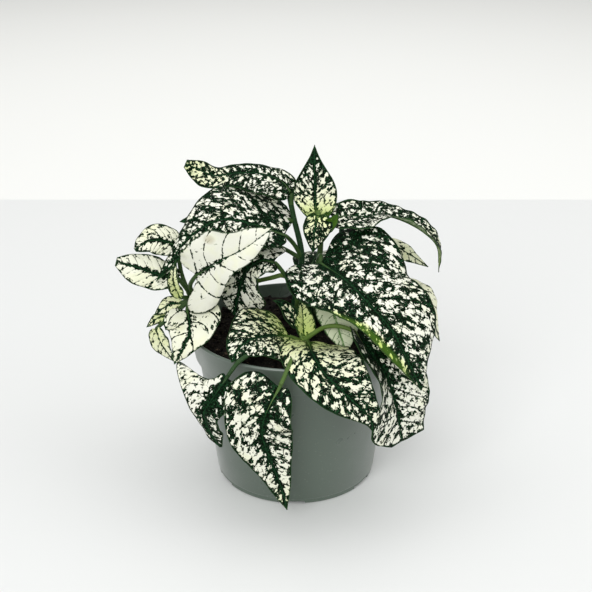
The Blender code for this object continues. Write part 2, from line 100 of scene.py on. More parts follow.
def grain(tree, vector, scale, detail=2.0, roughness=0.5):
    node = tree.nodes.new("ShaderNodeTexNoise")
    feed(tree, node.inputs["Vector"], vector)
    node.inputs["Scale"].default_value = scale
    node.inputs["Detail"].default_value = detail
    node.inputs["Roughness"].default_value = roughness
    return node.outputs["Fac"]


def relief(tree, shader, height, strength, distance):
    node = tree.nodes.new("ShaderNodeBump")
    node.inputs["Strength"].default_value = strength
    node.inputs["Distance"].default_value = distance
    feed(tree, node.inputs["Height"], height)
    tree.links.new(node.outputs["Normal"], shader.inputs["Normal"])


def coat(tree, shader, tint, roughness, shine):  # what every surface is given
    feed(tree, shader.inputs["Base Color"], tint)
    feed(tree, shader.inputs["Roughness"], roughness)
    feed(tree, shader.inputs["Specular IOR Level"], shine)


def objectPlace(tree):  # metres from the object's own origin
    return tree.nodes.new("ShaderNodeTexCoord").outputs["Object"]


def placed(name, data):  # a new object in the scene
    piece = bpy.data.objects.new(name, data)
    scene.collection.objects.link(piece)
    return piece


def keep(piece, node):  # the piece rides on the body, and the frame's part for its node is hidden
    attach(piece, "root")
    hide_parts(node)


# Camera, pale floor and studio light, in metres

view = dict(target=(0.0002, 0.0, 0.0935), distance=0.525, elevation=22.84, lens=65.34, sensor=36, near=0.01)
room = dict(
    width=7.0, front=-2.6, line=0.447, back=5.0,  # the floor turns paler at the line
    tableColour=(0.75, 0.76, 0.755), tableRoughness=0.35, farColour=(0.79, 0.795, 0.775), farRoughness=0.9,
    cloudScale=2.5, cloudy=0.985, shine=0.3)
lights = dict(
    sky=0.47, skyColour=(1.0, 1.0, 0.985, 1),
    key=dict(place=(-0.38, -1.2, 0.8), aim=(0, -0.14, 0.0), size=0.9, power=14.4, spread=180),
    fill=dict(place=(0.9, -0.3, 0.4), aim=(0, 0, 0.06), size=0.8, power=2.8, spread=180),
    back=dict(place=(0.0, 0.8, 1.45), aim=(0, 1.25, 0.0), size=2.2, power=14.5, spread=130))


def shaded(colour, share):  # the colour made lighter or darker
    return tuple(part * share for part in colour[:3]) + (1,)


def paleSurface(name, colour, roughness):
    material, tree, shader = newMaterial(name)
    cloud = grain(tree, objectPlace(tree), room["cloudScale"])
    tint = blend(tree, cloud, shaded(colour, room["cloudy"]), colour + (1,))
    coat(tree, shader, tint, roughness, room["shine"])
    return material


def buildRoom():
    half = room["width"] / 2
    mesh = bpy.data.meshes.new("studioRoom")
    points = [(x, y, 0.0) for y in (room["front"], room["line"], room["back"]) for x in (-half, half)]
    mesh.from_pydata(points, [], [(0, 1, 3, 2), (2, 3, 5, 4)])
    mesh.materials.append(paleSurface("paleTable", room["tableColour"], room["tableRoughness"]))
    mesh.materials.append(paleSurface("paleBackdrop", room["farColour"], room["farRoughness"]))
    mesh.polygons[-1].material_index = 1
    floor = placed("studioRoom", mesh)


def buildLight(name, settings):
    lamp = bpy.data.lights.new(name, "AREA")
    lamp.shape = "SQUARE"
    lamp.size = settings["size"]
    lamp.energy = settings["power"]
    lamp.spread = math.radians(settings["spread"])
    light = placed(name, lamp)
    light.location = settings["place"]
    aim = Vector(settings["aim"]) - Vector(settings["place"])
    light.rotation_euler = aim.to_track_quat("-Z", "Y").to_euler()


def buildView():
    angle = math.radians(view["elevation"])
    target = Vector(view["target"])
    eye = target + Vector((0, -math.cos(angle), math.sin(angle))) * view["distance"]
    lens = bpy.data.cameras.new("camera")
    lens.lens = view["lens"]
    lens.sensor_width = view["sensor"]
    lens.clip_start = view["near"]
    camera = placed("camera", lens)
    camera.location = eye
    camera.rotation_euler = (target - eye).to_track_quat("-Z", "Y").to_euler()
    scene.camera = camera


def buildSky():
    world = bpy.data.worlds.new("studio")
    world.use_nodes = True
    sky = world.node_tree.nodes["Background"]
    sky.inputs["Color"].default_value = lights["skyColour"]
    sky.inputs["Strength"].default_value = lights["sky"]
    scene.world = world
    scene.view_settings.view_transform = "Standard"


buildView()
buildSky()
buildRoom()
for lightName in ("key", "fill", "back"):
    buildLight(lightName + "Light", lights[lightName])
print("room, light and camera ready")


# Pot

pot = dict(
    height=79.5, rimRadius=52.5, collarHeight=14.7, collarFoot=49.8, step=1.8, baseRadius=40.3, wall=1.3,
    floor=2.2, footHeight=2.6, footInset=0.45, sides=160,
    drains=6, drainRadius=2.6, drainReach=0.68,  # the holes' share of the way out from the middle
    notch=(13.0, 9.0, 1.6), notchTurn=0.45,  # width, depth and height, and the share of the way to the next
    # the lighter edge colour is a painted highlight along the rim's top edge
    colour=(0.074, 0.102, 0.079, 1), cloudy=1.1, paintedRimHighlight=(0.092, 0.122, 0.098, 1),
    dust=(0.33, 0.34, 0.3, 1), dustShare=0.22, roughness=0.32, shine=0.6, sheen=0.22, moulded=0.12, sharp=30)


def turned(name, profile, sides):  # turn a profile of radius and height about Z
    mesh = bpy.data.meshes.new(name)
    edges = [(i, i + 1) for i in range(len(profile) - 1)]
    mesh.from_pydata([(r * mm, 0, z * mm) for r, z in profile], edges, [])
    piece = placed(name, mesh)
    screw = piece.modifiers.new("turn", "SCREW")
    screw.steps = sides
    screw.render_steps = sides
    screw.use_merge_vertices = True
    screw.merge_threshold = 0.00001
    return piece


def applied(piece, name, sharp):  # the piece as a plain mesh with its modifiers applied
    depsgraph = bpy.context.evaluated_depsgraph_get()
    mesh = bpy.data.meshes.new_from_object(piece.evaluated_get(depsgraph))
    bpy.data.objects.remove(piece, do_unlink=True)
    mesh.shade_smooth()
    mesh.set_sharp_from_angle(angle=math.radians(sharp))
    return placed(name, mesh)


def plasticMaterial():
    material, tree, shader = newMaterial("greyGreenPlastic")
    place = objectPlace(tree)
    cloud = grain(tree, place, 45, 3)
    tint = blend(tree, cloud, pot["colour"], shaded(pot["colour"], pot["cloudy"]))
    parts = tree.nodes.new("ShaderNodeSeparateXYZ")
    tree.links.new(place, parts.inputs[0])
    # painted highlight: the rim's top edge is given a lighter colour, a thin light line where light catches
    # the edge
    rim = ramp(tree, parts.outputs["Z"], (pot["height"] - 1.6) * mm, (pot["height"] - 0.6) * mm)
    tint = blend(tree, rim, tint, pot["paintedRimHighlight"])
    dust = ramp(tree, grain(tree, place, 900, 2), 0.66, 0.74)
    tint = blend(tree, calc(tree, "MULTIPLY", dust, pot["dustShare"]), tint, pot["dust"])
    roughness = ramp(tree, cloud, 0.3, 0.7, pot["roughness"] - 0.05, pot["roughness"] + 0.07)
    coat(tree, shader, tint, roughness, pot["shine"])
    shader.inputs["Sheen Weight"].default_value = pot["sheen"]
    shader.inputs["Sheen Roughness"].default_value = 0.4
    relief(tree, shader, grain(tree, place, 2200, 3), pot["moulded"], 0.2 * mm)
    return material


def potProfile():  # radius and height, out along the floor, up inside, over the rim and down outside
    height, floor, wall, foot = pot["height"], pot["floor"], pot["wall"], pot["footHeight"]
    rim, neck, base = pot["rimRadius"], pot["collarFoot"], pot["baseRadius"]
    collar, under, inset = height - pot["collarHeight"], neck - pot["step"], base - pot["footInset"]
    return [(0, floor), (base - wall - 2, floor), (base - wall, floor + 2), (under - wall, collar - wall),
            (neck - wall, collar + wall), (rim - wall - 0.1, height - 0.8),
            (rim - wall + 0.15, height - 0.15), (rim - 0.9, height), (rim - 0.35, height - 0.15),
            (rim, height - 0.7), (rim - 0.35, height - 1.6),
            (neck + 0.05, collar + 0.5), (neck - 0.25, collar), (under + 0.2, collar - 0.35),
            (under - 0.1, collar - 0.9), (base + 0.02, foot + 0.7), (base - 0.35, foot + 0.1),
            (inset, foot), (inset - 0.1, 0.6), (inset - 0.8, 0.0), (0, 0)]


def around(number, turn, reach):  # the angle and the place of one of the drains or notches
    angle = math.tau * (number + turn) / pot["drains"]
    return angle, (reach * math.cos(angle), reach * math.sin(angle), 0)


def buildPot():
    shell = turned("potShell", potProfile(), pot["sides"])
    width, depth, height = (value * mm for value in pot["notch"])
    cutters = []
    for number in range(pot["drains"]):
        angle, place = around(number, 0.5, pot["baseRadius"] * pot["drainReach"] * mm)
        bpy.ops.mesh.primitive_cylinder_add(vertices=24, radius=pot["drainRadius"] * mm, depth=9 * mm,
                                            location=place)
        cutters.append(bpy.context.object)
        angle, place = around(number, pot["notchTurn"], pot["baseRadius"] * mm)
        bpy.ops.mesh.primitive_cube_add(size=1, location=place, rotation=(0, 0, angle),
                                        scale=(depth, width, 2 * height))
        cutters.append(bpy.context.object)
    for cutter in cutters:
        hole = shell.modifiers.new("hole", "BOOLEAN")
        hole.operation = "DIFFERENCE"
        hole.object = cutter
    bpy.context.view_layer.update()
    piece = applied(shell, "nursery_pot", pot["sharp"])
    for cutter in cutters:
        bpy.data.objects.remove(cutter, do_unlink=True)
    piece.data.materials.clear()
    piece.data.materials.append(plasticMaterial())
    keep(piece, "pot")


buildPot()
print("pot built")


# Potting soil

soil = dict(
    level=73.5, edge=49.5, border=2.5, under=[(47.6, 66.0), (45.9, 62.0), (41.0, 30.0)], rings=46, sides=150,
    waves=0.7, dome=1.2, crumbs=1.1,
    lumps=520, lumpSize=(0.5, 1.9), seed=11, dark=(0.004, 0.0035, 0.003, 1), light=(0.02, 0.015, 0.011, 1),
    fibre=(0.12, 0.085, 0.05, 1), fibreShare=0.7, roughness=0.93, shine=0.15, rough=0.8)


def soilHeight(x, y):  # slow waves, a little higher in the middle, and crumbs
    ripple = math.sin(0.31 * x + 0.8) * math.cos(0.27 * y) + 0.6 * math.sin(0.55 * y - 0.2 * x)
    dome = math.cos(math.hypot(x, y) * 0.03)
    crumbs = noise.fractal(Vector((x * 0.22, y * 0.22, 3.1)), 0.8, 2.2, 4)
    return soil["level"] + soil["waves"] * ripple + soil["dome"] * dome + soil["crumbs"] * crumbs


def soilMaterial():
    material, tree, shader = newMaterial("crumbledPeat")
    place = objectPlace(tree)
    fine = grain(tree, place, 520, 4, 0.65)
    tint = blend(tree, ramp(tree, fine, 0.35, 0.7), soil["dark"], soil["light"])
    fibre = ramp(tree, grain(tree, scaled(tree, place, (260, 1300, 900)), 1, 2), 0.64, 0.7)
    tint = blend(tree, calc(tree, "MULTIPLY", fibre, soil["fibreShare"]), tint, soil["fibre"])
    coat(tree, shader, tint, soil["roughness"], soil["shine"])
    relief(tree, shader, fine, soil["rough"], 0.8 * mm)
    return material


def buildSoil():
    surface, rings = bmesh.new(), []
    edge, sides = soil["edge"], soil["sides"]
    for ring in range(1, soil["rings"] + 1):
        reach = edge * ring / soil["rings"]
        row = []
        for side in range(sides):
            angle = math.tau * side / sides
            x, y = reach * math.cos(angle), reach * math.sin(angle)
            z = soilHeight(x, y) - max(0.0, reach - edge + soil["border"]) * 0.5
            row.append(surface.verts.new((x * mm, y * mm, z * mm)))
        rings.append(row)
    top = rings[-1]
    for reach, height in soil["under"]:  # inside the pot's step and wall
        share = reach / edge
        rings.append([surface.verts.new((v.co.x * share, v.co.y * share, height * mm)) for v in top])
    middle = surface.verts.new((0, 0, soilHeight(0, 0) * mm))
    for k in range(sides):
        surface.faces.new((middle, rings[0][k], rings[0][(k + 1) % sides]))
        for inside, outside in zip(rings, rings[1:]):
            surface.faces.new((inside[k], outside[k], outside[(k + 1) % sides], inside[(k + 1) % sides]))
    surface.faces.new(list(reversed(rings[-1])))
    pick = random.Random(soil["seed"])  # loose crumbs lie on top
    small, large = soil["lumpSize"]
    for number in range(soil["lumps"]):
        reach = (edge - soil["border"]) * math.sqrt(pick.random())
        angle = math.tau * pick.random()
        x, y = reach * math.cos(angle), reach * math.sin(angle)
        size = small + (large - small) * pick.random() ** 3
        lump = bmesh.ops.create_icosphere(surface, subdivisions=2, radius=size * mm)["verts"]
        flat = 0.55 + 0.4 * pick.random()
        for vertex in lump:
            way = vertex.co.normalized()
            swell = 1 + 0.35 * noise.noise(way * 1.7 + Vector((number, 0, 0)))
            vertex.co = Vector((vertex.co.x * swell + x * mm, vertex.co.y * swell + y * mm,
                                vertex.co.z * swell * flat + (soilHeight(x, y) + 0.25 * size) * mm))
    mesh = bpy.data.meshes.new("crumbled_soil")
    bmesh.ops.recalc_face_normals(surface, faces=surface.faces[:])
    surface.to_mesh(mesh)
    surface.free()
    mesh.shade_smooth()
    mesh.materials.append(soilMaterial())
    keep(placed("crumbled_soil", mesh), "soil")


buildSoil()
print("soil built")


# Leaf and stem materials

leafColours = dict(
    dark=(0.001, 0.004, 0.001, 1), darkPatch=(0.009, 0.042, 0.015, 1), cream=(0.73, 0.735, 0.64, 1),
    creamWarm=(0.72, 0.74, 0.46, 1), young=(0.5, 0.62, 0.16, 1), youngDark=(0.05, 0.115, 0.012, 1),
    rib=(0.012, 0.068, 0.022, 1), margin=(0.022, 0.055, 0.018, 1), rim=(0.45, 0.52, 0.3, 1),
    scorch=(0.47, 0.43, 0.29, 1), underDark=(0.1, 0.18, 0.07, 1), underPale=(0.72, 0.77, 0.55, 1),
    underRib=(0.16, 0.3, 0.1, 1))
leafFinish = dict(
    roughness=0.46, shine=0.035, relief=0.35, cells=(1.05, 0.9, 1), drawn=(0.85, 1.05, 1), blotch=0.44,
    net=(0.36, 0.3, 1), flecks=(1.7, 1.4, 1), softTop=0.014, softBack=0.05,
    whiteWeight=0.46, ribDark=0.34, veinHaze=0.04, marginDark=0.16, netDark=0.09, fleckPale=0.11)
stalkFinish = dict(
    dark=(0.004, 0.02, 0.008, 1), darkPatch=(0.013, 0.05, 0.018, 1), light=(0.11, 0.2, 0.03, 1),
    lightPatch=(0.24, 0.36, 0.08, 1), fleck=(0.4, 0.48, 0.25, 1), fleckShare=0.22, roughness=0.42, shine=0.15,
    relief=0.15)


def leafMark(tree, name, output="Vector"):
    node = tree.nodes.new("ShaderNodeAttribute")
    node.attribute_name = name
    return node.outputs[output]


def apart(tree, vector):
    node = tree.nodes.new("ShaderNodeSeparateXYZ")
    feed(tree, node.inputs[0], vector)
    return node.outputs[0], node.outputs[1], node.outputs[2]


def together(tree, x, y, z):
    node = tree.nodes.new("ShaderNodeCombineXYZ")
    for socket, value in zip(node.inputs, (x, y, z)):
        feed(tree, socket, value)
    return node.outputs[0]


def cells(tree, vector, feature, output):
    node = tree.nodes.new("ShaderNodeTexVoronoi")
    node.feature = feature
    node.inputs["Scale"].default_value = 1.0
    feed(tree, node.inputs["Vector"], vector)
    return node.outputs[output]


def bent(tree, vector, scale, amount):  # the vector pushed about by a noise
    push = tree.nodes.new("ShaderNodeTexNoise")
    push.inputs["Scale"].default_value = scale
    tree.links.new(vector, push.inputs["Vector"])
    shift = tree.nodes.new("ShaderNodeVectorMath")
    shift.operation = "MULTIPLY_ADD"
    tree.links.new(push.outputs["Color"], shift.inputs[0])
    shift.inputs[1].default_value = (amount, amount, 0)
    tree.links.new(vector, shift.inputs[2])
    return shift.outputs[0]


def leafMaterial(name, underside):
    material, tree, shader = newMaterial(name)
    colour, look = leafColours, leafFinish
    across, along, vein = apart(tree, leafMark(tree, "leafPlace"))
    edge, ribHalf, veinDepth = apart(tree, leafMark(tree, "leafMarks"))
    white, size, youth = apart(tree, leafMark(tree, "leafTone"))
    seed = leafMark(tree, "leafSeed", "Fac")
    flat = together(tree, across, along, seed)
    fromRib = calc(tree, "ABSOLUTE", across)
    # blotches drawn out along the side veins: a noise read at the middles of crooked millimetre cells
    leaning = together(tree, across, calc(tree, "MULTIPLY_ADD", fromRib, -0.4, along), seed)
    crooked = bent(tree, leaning, 0.9, 1.6)
    spot = scaled(tree, crooked, look["cells"])
    middle = cells(tree, spot, "F1", "Position")
    chance = apart(tree, cells(tree, spot, "F1", "Color"))[0]
    sizing = tree.nodes.new("ShaderNodeVectorMath")
    sizing.operation = "SCALE"
    tree.links.new(scaled(tree, middle, look["drawn"]), sizing.inputs[0])
    tree.links.new(size, sizing.inputs["Scale"])
    blotch = grain(tree, sizing.outputs[0], look["blotch"], 2, 0.6)
    weight = look["whiteWeight"]
    value = calc(tree, "ADD", blotch, calc(tree, "MULTIPLY_ADD", white, weight, -weight / 2))
    # darker along the rib, the side veins, the margin and the gaps of a wider net, with pale flecks
    ribReach = calc(tree, "MULTIPLY", ribHalf, calc(tree, "MULTIPLY_ADD", chance, 1.1, 0.5))
    ribShade = ramp(tree, calc(tree, "DIVIDE", fromRib, ribReach), 0.35, 1.5, look["ribDark"], 0)
    toVein = calc(tree, "MULTIPLY", calc(tree, "PINGPONG", vein, 0.5), 2.0)
    veinReach = calc(tree, "MULTIPLY_ADD", chance, 0.16, 0.07)
    broken = ramp(tree, grain(tree, flat, 0.4, 1), 0.38, 0.52, 0.5, 1)
    veinShade = calc(tree, "MULTIPLY", ramp(tree, toVein, 0.0, veinReach, 1, 0), veinDepth)
    veinShade = calc(tree, "MULTIPLY", veinShade, broken)
    veinShade = calc(tree, "ADD", veinShade, ramp(tree, toVein, 0.05, 0.4, look["veinHaze"], 0))
    marginShade = ramp(tree, edge, 0.2, 1.5, look["marginDark"], 0)
    net = cells(tree, scaled(tree, crooked, look["net"]), "DISTANCE_TO_EDGE", "Distance")
    netShade = ramp(tree, net, 0.0, 0.12, look["netDark"], 0)
    for shade in (ribShade, veinShade, marginShade, netShade):
        value = calc(tree, "SUBTRACT", value, shade)
    fleck = cells(tree, scaled(tree, flat, look["flecks"]), "F1", "Distance")
    value = calc(tree, "ADD", value, ramp(tree, fleck, 0.12, 0.2, look["fleckPale"], 0))
    soft = look["softBack" if underside else "softTop"]
    pale = ramp(tree, value, 0.5 - soft, 0.5 + soft)
    cloud = grain(tree, flat, 0.12, 2)
    fine = grain(tree, flat, 1.3, 2)
    if underside:
        tint = blend(tree, calc(tree, "MULTIPLY", pale, 0.85), colour["underDark"], colour["underPale"])
        tint = blend(tree, calc(tree, "MULTIPLY", youth, 0.7), tint, colour["young"])
        tint = blend(tree, ramp(tree, fromRib, 0.3, 0.8, 0.6, 0), tint, colour["underRib"])
    else:
        dark = blend(tree, ramp(tree, fine, 0.46, 0.68), colour["dark"], colour["darkPatch"])
        dark = blend(tree, ramp(tree, youth, 0.45, 0.9, 0, 0.85), dark, colour["youngDark"])
        warm = calc(tree, "MULTIPLY_ADD", youth, 1.8, ramp(tree, cloud, 0.5, 0.7, 0, 0.3))
        cream = blend(tree, warm, colour["cream"], colour["creamWarm"])
        cream = blend(tree, ramp(tree, youth, 0.25, 1.0), cream, colour["young"])
        cream = blend(tree, ramp(tree, value, 0.5, 0.53, 0.4, 0), cream, colour["rim"])
        tint = blend(tree, pale, dark, cream)
        line = calc(tree, "MULTIPLY", ramp(tree, fromRib, 0.12, 0.34, 0.4, 0), ramp(tree, along, 0.0, 2.0))
        tint = blend(tree, line, tint, colour["rib"])
    tint = blend(tree, leafMark(tree, "leafScorch", "Fac"), tint, colour["scorch"])
    tint = blend(tree, ramp(tree, edge, 0.18, 0.52, 0.9, 0), tint, colour["margin"])
    roughness = ramp(tree, fine, 0.3, 0.7, look["roughness"] - 0.06, look["roughness"] + 0.1)
    coat(tree, shader, tint, roughness, look["shine"])
    height = calc(tree, "ADD", ramp(tree, toVein, 0.0, 0.35), ramp(tree, fromRib, 0.0, 1.2))
    height = calc(tree, "MULTIPLY_ADD", fine, 0.35, height)
    height = calc(tree, "MULTIPLY_ADD", ramp(tree, net, 0.0, 0.2), 0.3, height)
    relief(tree, shader, height, look["relief"], 0.3 * mm)
    return material


def stalkMaterial():
    material, tree, shader = newMaterial("leafStalk")
    look = stalkFinish
    place = objectPlace(tree)
    cloud = grain(tree, place, 260, 3)
    dark = blend(tree, cloud, look["dark"], look["darkPatch"])
    light = blend(tree, cloud, look["light"], look["lightPatch"])
    tint = blend(tree, leafMark(tree, "stalkTone", "Fac"), dark, light)
    fleck = cells(tree, scaled(tree, place, (1500, 1500, 700)), "F1", "Distance")
    tint = blend(tree, ramp(tree, fleck, 0.1, 0.2, look["fleckShare"], 0), tint, look["fleck"])
    coat(tree, shader, tint, look["roughness"], look["shine"])
    relief(tree, shader, grain(tree, place, 900, 2), look["relief"], 0.3 * mm)
    return material


leafTop = leafMaterial("splashedLeafTop", False)
leafBack = leafMaterial("splashedLeafBack", True)
stalkGreen = stalkMaterial()
print("leaf and stem materials ready")


# Leaf forms: the blades of the frame, on a much finer grid

leafGrid = dict(
    columns=44, rows=64, smallColumns=22, smallRows=30, smallWidth=7, ribSteps=96, fineSteps=160, arcSteps=8,
    thick=0.36, corner=0.07, ripple=0.3, quilt=0.2, groove=0.25, lookAhead=0.0625, wave=0.12, waves=2.2,
    tip=0.12)
veinForm = dict(  # side veins: the gap as a share of the length, how they lean and sweep, and how they wander
    gap=0.13, leastGap=2.5, lean=0.5, sweep=0.45, stagger=0.13, wander=0.25)


def spline(points, t):
    last = len(points) - 1
    place = min(max(t, 0.0), 1.0) * last
    i = min(int(place), last - 1)
    s = place - i
    p1, p2 = points[i], points[i + 1]
    p0 = points[i - 1] if i > 0 else p1 * 2 - p2
    p3 = points[i + 2] if i + 2 <= last else p2 * 2 - p1
    return 0.5 * ((2 * p1) + (p2 - p0) * s + (2 * p0 - 5 * p1 + 4 * p2 - p3) * s * s
                  + (3 * p1 - p0 - 3 * p2 + p3) * s * s * s)


def evenCurve(points, count):  # count + 1 points at even steps of length, and the length
    steps = leafGrid["fineSteps"]
    fine = [spline(points, k / steps) for k in range(steps + 1)]
    run = [0.0]
    for a, b in zip(fine, fine[1:]):
        run.append(run[-1] + (b - a).length)
    even, k = [], 0
    for step in range(count + 1):
        goal = run[-1] * step / count
        while k < steps - 1 and run[k + 1] < goal:
            k += 1
        share = (goal - run[k]) / max(run[k + 1] - run[k], 1e-9)
        even.append(fine[k].lerp(fine[k + 1], min(max(share, 0.0), 1.0)))
    return even, run[-1]


def stepsOf(values, v):  # the value at v of a list spread evenly from foot to tip, or a plain number
    if not isinstance(values, (list, tuple)):
        return values
    return spline(values, v) if len(values) > 1 else values[0]


def ribPoint(ribs, v):
    place = min(max(v, 0.0), 1.0) * (len(ribs) - 1)
    i = min(int(place), len(ribs) - 2)
    return ribs[i].lerp(ribs[i + 1], place - i)


def ribFrame(leaf, ribs, v):  # the way ahead along the rib, and the way the upper face looks
    v = min(max(v, 0.0), 1.0)
    step = leafGrid["lookAhead"]
    ahead = (ribPoint(ribs, v + step) - ribPoint(ribs, v - step)).normalized()
    face = spline([Vector(way) for way in leaf["face"]], v)
    return ahead, (face - ahead * face.dot(ahead)).normalized()


def bladePoint(leaf, ribs, length, v, side, u):  # side is -1 left or 1 right, u goes from rib to edge
    half = leaf["left" if side < 0 else "right"]
    width = max(stepsOf(half["width"], v), leafGrid["tip"])
    along = v - half.get("back", 3) / length * u ** 1.6 * (1 - v) ** 3
    point = ribPoint(ribs, along)
    ahead, face = ribFrame(leaf, ribs, along)
    if along < 0.0:
        point = point + ahead * along * length
    across = ahead.cross(face) * side
    lift = stepsOf(half.get("lift", 5), v) * (1 - v ** 4)
    bend = stepsOf(half.get("bend", -30), v)
    curl = stepsOf(half.get("curl", 0), v)
    wave = leaf.get("wave", leafGrid["wave"]) * math.sin(math.tau * leafGrid["waves"] * v + side)
    steps = leafGrid["arcSteps"]
    for step in range(steps):
        part = u * (step + 0.5) / steps
        angle = math.radians(lift + bend * part ** 1.5 + curl * part ** 5) + wave * 3 * part * part
        point = point + (across * math.cos(angle) + face * math.sin(angle)) * (width * u / steps)
    return point, face, width


def giveMarks(mesh, **layers):  # per-point values that the materials read
    for name, values in layers.items():
        if isinstance(values[0], tuple):
            layer = mesh.attributes.new(name, "FLOAT_VECTOR", "POINT")
            layer.data.foreach_set("vector", [number for value in values for number in value])
        else:
            layer = mesh.attributes.new(name, "FLOAT", "POINT")
            layer.data.foreach_set("value", values)


def bladeTone(dress, v, side, toEdge):  # how white and how young the blade is at a point
    white = dress["white"]
    if isinstance(white, tuple):  # left half, right half
        white = white[0 if side < 0 else 1]
    pale, youth = stepsOf(white, v), stepsOf(dress.get("youth", 0.0), v)
    hem = dress.get("hem")
    if hem and side == hem["side"]:
        start, end = hem["reach"]
        share = max(0.0, 1 - toEdge / hem["wide"]) ** 0.5 * stepsOf([0, 1, 1, 0], (v - start) / (end - start))
        pale, youth = pale + (hem["white"] - pale) * share, max(youth, hem["youth"] * share)
    return pale, dress.get("size", 1.0), youth


def buildBlade(leaf, node):
    dress, veins = leaf["dress"], veinForm
    small = max(leaf["left"]["width"] + leaf["right"]["width"]) < leafGrid["smallWidth"]
    columns = leafGrid["smallColumns" if small else "columns"]
    rows = leafGrid["smallRows" if small else "rows"]
    ribs, length = evenCurve([Vector(point) for point in leaf["rib"]], leafGrid["ribSteps"])
    seed = sum(ord(letter) * (k + 3) for k, letter in enumerate(leaf["name"])) % 97
    gap = dress.get("gap", max(veins["leastGap"], veins["gap"] * length))
    grid = bmesh.new()
    bmesh.ops.create_grid(grid, x_segments=columns, y_segments=rows, size=1.0)
    places, marks, tones, scorches = [], [], [], []
    scorchAt, scorchAcross, scorchReach = dress.get("scorch", (0, 0, 0))
    for vertex in grid.verts:
        u, side = abs(vertex.co.x), -1 if vertex.co.x < 0 else 1
        v = (vertex.co.y + 1) / 2
        v += leafGrid["corner"] * u ** 6 * (1 - v) ** 8
        point, face, width = bladePoint(leaf, ribs, length, v, side, u)
        across, along, toEdge = u * width, v * length, width * (1 - u)
        slant = along - veins["lean"] * across - veins["sweep"] * across * across / width
        slant = slant / gap + veins["stagger"] * side
        slant += veins["wander"] * noise.noise(Vector((side * across * 0.05, along * 0.1, seed)))
        fromVein = abs(slant - round(slant)) * 2
        lump = leafGrid["quilt"] * min(1.0, across / 4) * min(1.0, (1 - u) * 4) * (math.sqrt(fromVein) - 0.5)
        edgeWave = leafGrid["ripple"] * u ** 4 * math.sin(along * 0.9 + seed + side) * min(1.0, width / 8)
        groove = -leafGrid["groove"] * math.exp(-(across / 0.9) ** 2) * min(1.0, width / 6)
        vertex.co = (point + face * (lump + edgeWave + groove)) * mm
        edge = min(toEdge, along + 0.5, (1 - v) * length * 0.6 + 0.1)
        places.append((side * across, along, slant))
        marks.append((edge, stepsOf(dress.get("rib", [1.8, 1.3, 0.8, 0.4]), v), dress.get("veins", 0.12)))
        tones.append(bladeTone(dress, v, side, toEdge))
        away = math.hypot(along - scorchAt * length, side * across - scorchAcross)
        scorches.append(max(0.0, 1 - away / scorchReach) ** 0.5 * 0.8 if scorchReach else 0.0)
    mesh = bpy.data.meshes.new(leaf["name"])
    grid.to_mesh(mesh)
    grid.free()
    giveMarks(mesh, leafPlace=places, leafMarks=marks, leafTone=tones, leafScorch=scorches,
              leafSeed=[seed * 1.7] * len(places))
    for material in (leafBack, leafTop) if dress.get("turned") else (leafTop, leafBack):
        mesh.materials.append(material)
    mesh.shade_smooth()
    piece = placed(leaf["name"], mesh)
    thick = piece.modifiers.new("thickness", "SOLIDIFY")
    thick.thickness = leafGrid["thick"] * mm
    thick.offset = 0.0
    thick.material_offset = 1
    keep(piece, node)


# Stems, leaf stalks and the ribs under the blades

stemForm = dict(
    stem=1.7, stalk=1.05, sides=16, stemSteps=40, stalkSteps=24, underSteps=36, underEnd=0.93,
    stemTaper=(1, 0.95, 0.85, 0.75), stalkTaper=(1.15, 1, 1, 0.9), underTaper=(0.9, 0.6, 0.35, 0.1))


def addTube(surface, tones, path, wide, taper, tone):  # a round tube and its tone at each point
    sides, radii = stemForm["sides"], [wide * share for share in taper]
    normal = (path[1] - path[0]).orthogonal().normalized()
    rings = []
    for k, point in enumerate(path):
        share = k / (len(path) - 1)
        ahead = (path[min(k + 1, len(path) - 1)] - path[max(k - 1, 0)]).normalized()
        normal = (normal - ahead * normal.dot(ahead)).normalized()
        sideways = ahead.cross(normal)
        radius = stepsOf(radii, share)
        ring = []
        for side in range(sides):
            angle = math.tau * side / sides
            out = normal * math.cos(angle) + sideways * math.sin(angle)
            ring.append(surface.verts.new((point + out * radius) * mm))
            tones.append(stepsOf(tone, share))
        rings.append(ring)
    for near, far in zip(rings, rings[1:]):
        for k in range(sides):
            surface.faces.new((near[k], near[(k + 1) % sides], far[(k + 1) % sides], far[k]))
    surface.faces.new(list(reversed(rings[0])))
    surface.faces.new(rings[-1])


def buildStem(shoot):
    surface, tones, form = bmesh.new(), [], stemForm
    path = evenCurve([Vector(point) for point in shoot["stem"]], form["stemSteps"])[0]
    addTube(surface, tones, path, form["stem"] * shoot.get("slim", 1.0), form["stemTaper"], shoot["tone"])
    wide = form["stalk"]
    for leaf in shoot["leaves"]:
        ribs = evenCurve([Vector(point) for point in leaf["rib"]], leafGrid["ribSteps"])[0]
        points = [Vector(point) for point in leaf["stalk"]] + [ribs[0], ribs[4]]
        count, last = form["stalkSteps"], len(points) - 1
        path = [spline(points, k / count * (last - 1) / last) for k in range(count)]
        tone = leaf["dress"].get("tone", 0.15)
        addTube(surface, tones, path, wide, form["stalkTaper"], tone)
        under = [path[-1]]  # on from the stalk, under the blade
        for k in range(form["underSteps"] + 1):
            v = form["underEnd"] * k / form["underSteps"]
            face = ribFrame(leaf, ribs, v)[1]
            radius = wide * (0.85 - 0.75 * v)  # thinner to the tip, and sunk into the blade
            under.append(ribPoint(ribs, v) - face * (0.25 + radius * 0.7 * min(1.0, 0.3 + v * 8)))
        addTube(surface, tones, under, wide, form["underTaper"], tone)
    mesh = bpy.data.meshes.new(shoot["name"])
    surface.to_mesh(mesh)
    surface.free()
    giveMarks(mesh, stalkTone=tones)
    mesh.materials.append(stalkGreen)
    mesh.shade_smooth()
    keep(placed(shoot["name"].replace("shoot", "stem"), mesh), shoot["name"])


